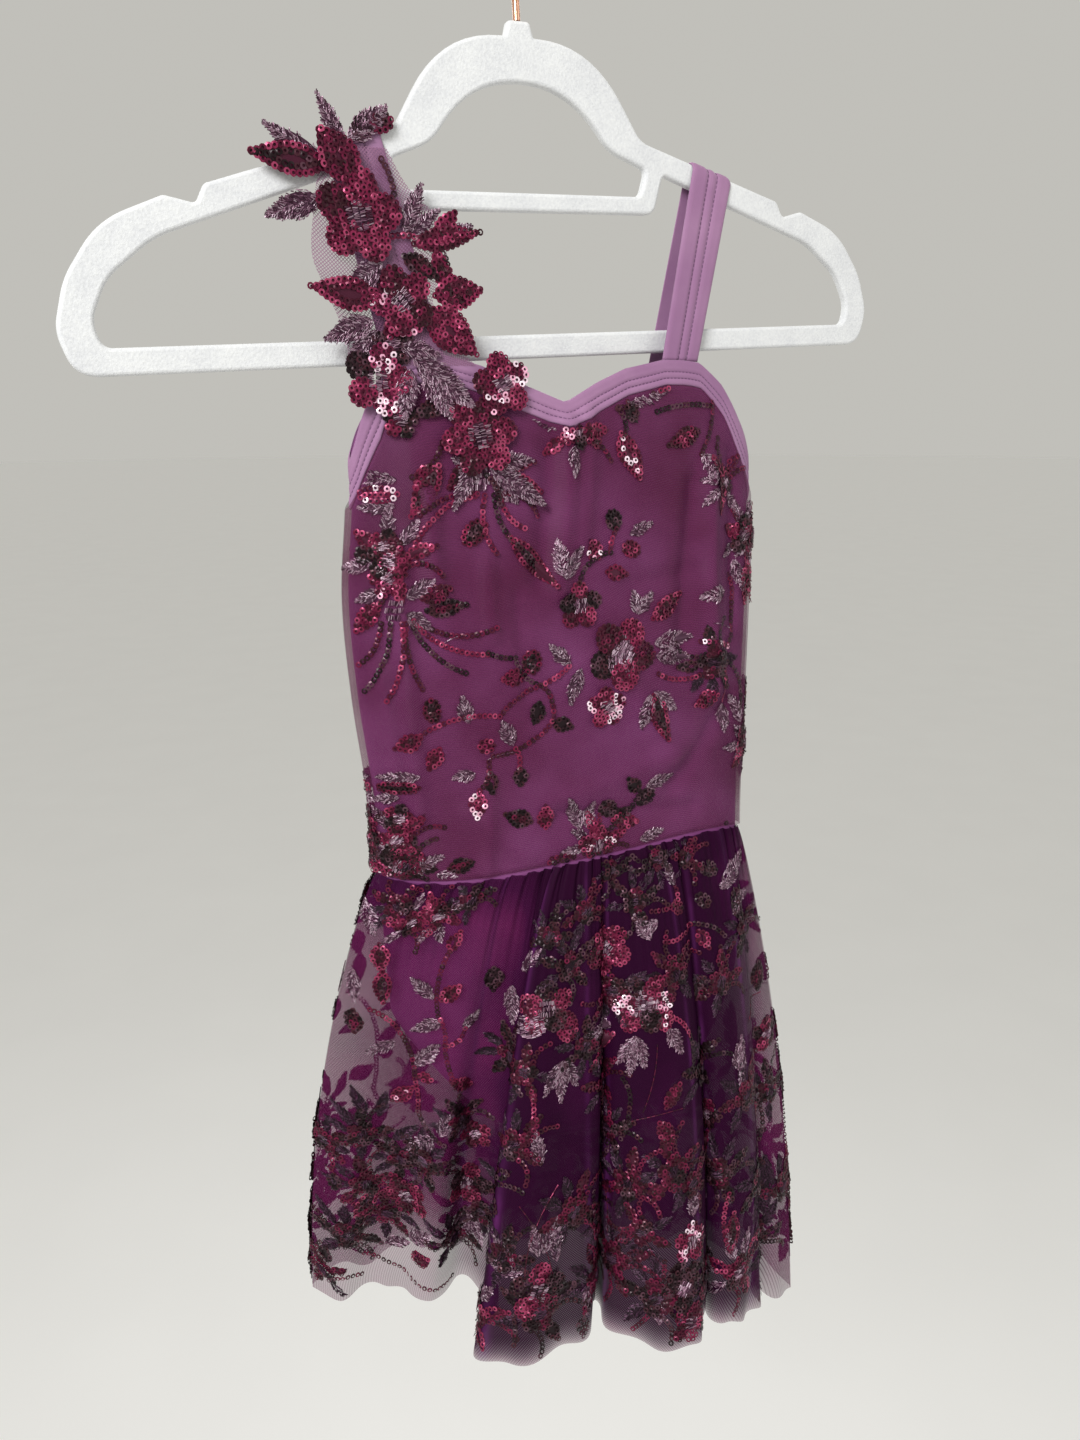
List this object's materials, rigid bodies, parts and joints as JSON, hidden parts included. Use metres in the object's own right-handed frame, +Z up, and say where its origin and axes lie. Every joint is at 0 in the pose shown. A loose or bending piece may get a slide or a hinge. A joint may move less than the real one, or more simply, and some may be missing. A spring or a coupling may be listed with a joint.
{
  "type": "strapped dance costume with net skirt on a hanger",
  "caption": "Sleeveless dance costume on a hanger: a sweetheart bodice under embroidered net, an applique shoulder strap, a brief and a gathered sheer net skirt.",
  "frame": {"origin": "inner top of the hook, where a rail holds it", "axes": "+Z up, +X along the hanger to a viewer's right, the costume's front towards -Y"},
  "size_m": [0.4456, 0.1553, 0.8197],
  "materials": {
    "flock": "pale grey-white flocked",
    "copper": "polished rose copper plating",
    "spandex": "purple stretch knit with a soft sheen",
    "binding": "lilac stretch knit, double needle stitched",
    "net": "sheer plum net",
    "sequin": "magenta ring sequins",
    "thread": "silver mauve metallic thread"
  },
  "bodies": {
    "root": {"hanger_body": "flock", "hanger_hook": "copper", "bodice_front": "spandex", "bodice_back": "spandex", "bodice_front_net": "net", "bodice_back_net": "net", "binding_front": "binding", "binding_back": "binding", "brief_front": "spandex", "brief_back": "spandex", "gusset": "spandex", "strap_left": "binding", "strap_right": "binding", "skirt_front": "net", "skirt_back": "net", "applique_net": "net", "applique_flower_top": "sequin", "applique_flower_upper": "sequin", "applique_flower_middle": "sequin", "applique_flower_inner": "sequin", "applique_flower_lower": "sequin", "applique_leaf_shoulder": "thread", "applique_leaf_crest": "thread", "applique_leaf_tip": "thread", "applique_leaf_under_tip": "thread", "applique_leaf_sprig_high": "thread", "applique_leaf_sprig_out": "thread", "applique_leaf_sprig_low": "thread", "applique_leaf_left": "thread", "applique_leaf_left_low": "thread", "applique_petal_right": "thread", "applique_leaf_silver": "thread", "applique_leaf_drop": "thread", "applique_leaf_fan": "thread"}
  },
  "joints": []
}
